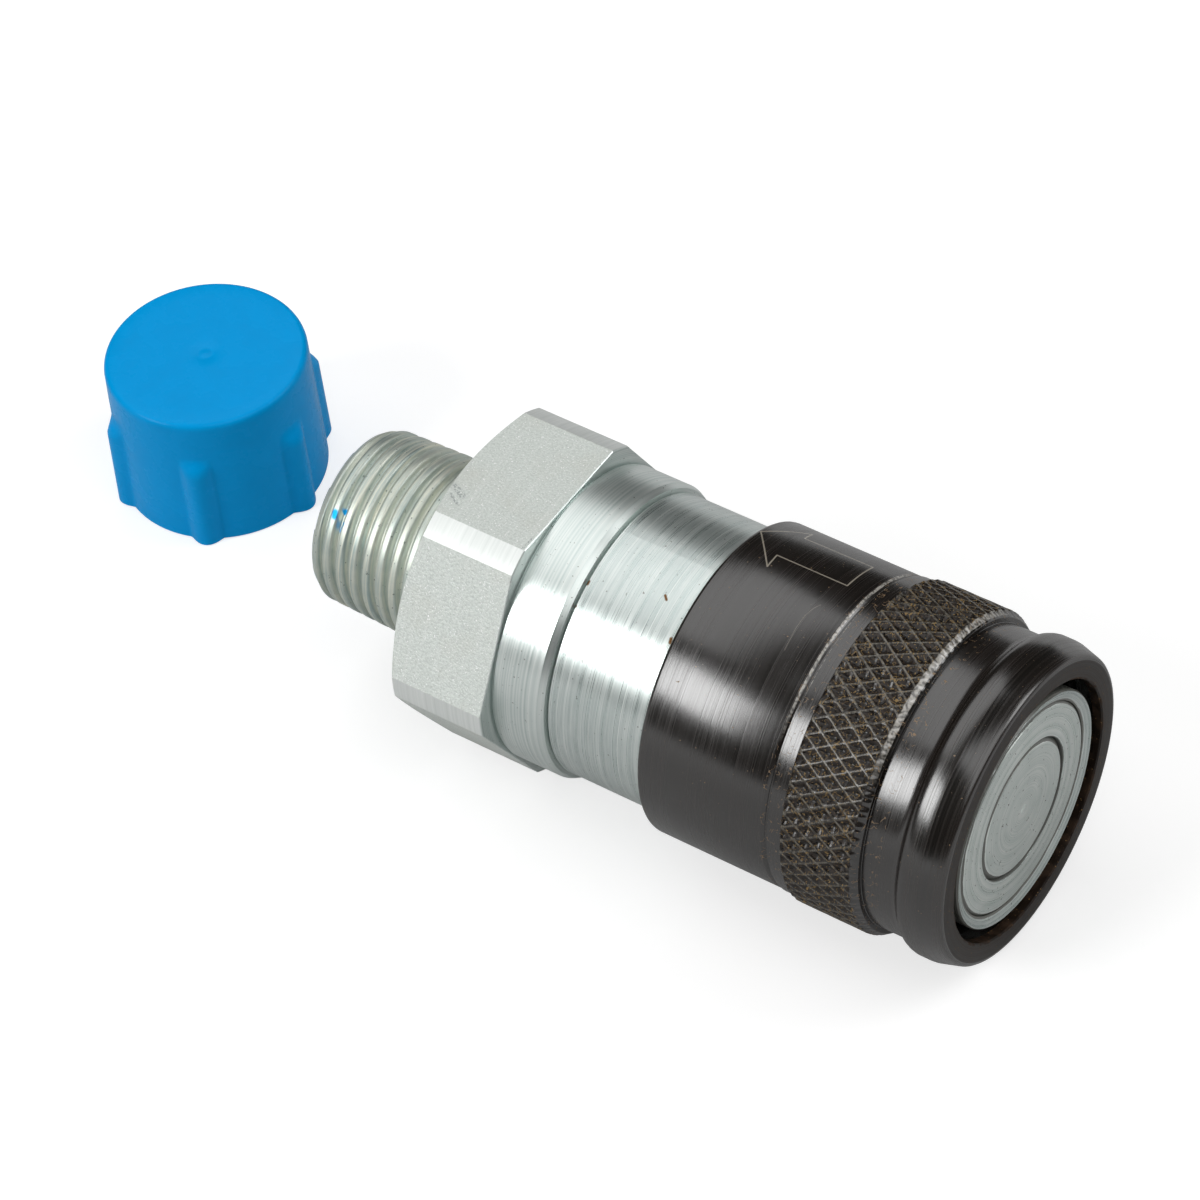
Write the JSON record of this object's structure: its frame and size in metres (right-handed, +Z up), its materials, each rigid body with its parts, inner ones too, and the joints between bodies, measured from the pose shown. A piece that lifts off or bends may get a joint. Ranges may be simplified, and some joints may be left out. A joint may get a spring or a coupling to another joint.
{
  "type": "hydraulic quick coupler half",
  "caption": "Flat-face hydraulic quick coupler half with ball-lock sleeve, hexagon and taper-threaded end, its blue thread cap taken off beside it.",
  "frame": {"origin": "centre of the coupling face, on the coupler's axis at the socket bore's edge", "axes": "+X along the coupler's axis toward the mating half, +Z up with the hexagon's flats level, +Y away from the viewer of the picture"},
  "size_m": [0.13, 0.043, 0.0372],
  "materials": {
    "zinc_steel": "zinc-plated turned steel, matt",
    "black_steel": "black-brown finished turned steel, worn bright on the edges",
    "valve_steel": "plated steel with concentric turning marks",
    "spring_steel": "oiled spring steel",
    "ball_steel": "polished bearing steel",
    "seal_rubber": "nitrile rubber",
    "backup_plastic": "fluoropolymer",
    "cap_plastic": "moulded low-density polyethylene"
  },
  "bodies": {
    "coupler": {"port_adapter": "zinc_steel", "socket_body": "zinc_steel", "sleeve_retaining_ring": "spring_steel", "locking_balls": "ball_steel", "sleeve_spring": "spring_steel", "valve_spring": "spring_steel", "centre_stem": "valve_steel", "stem_carrier": "zinc_steel", "stem_washer": "spring_steel", "stem_nut": "zinc_steel", "probe_seal": "seal_rubber", "probe_backup_ring": "backup_plastic", "stem_seal": "seal_rubber", "stem_backup_ring": "backup_plastic", "adapter_seal": "seal_rubber", "adapter_backup_ring": "backup_plastic", "thread_cap": "cap_plastic"},
    "spring_seat": {"sleeve_spring_seat": "spring_steel"},
    "sleeve": {"locking_sleeve": "black_steel"},
    "valve": {"valve_sleeve": "valve_steel"}
  },
  "joints": [
    {"name": "sleeve_slide", "type": "slide", "parent": "coupler", "child": "spring_seat", "axis": [1, 0, 0], "range_m": [-0.0035, 0], "stiffness_N_per_m": 3000, "springref_m": 0.008, "deforming": ["sleeve_spring"]},
    {"name": "sleeve_spin", "type": "hinge", "parent": "spring_seat", "child": "sleeve", "pos_m": [0, 0, 0], "axis": [1, 0, 0], "continuous": true},
    {"name": "valve_slide", "type": "slide", "parent": "coupler", "child": "valve", "axis": [1, 0, 0], "range_m": [-0.015, 0], "stiffness_N_per_m": 1500, "springref_m": 0.01, "deforming": ["valve_spring"]}
  ]
}
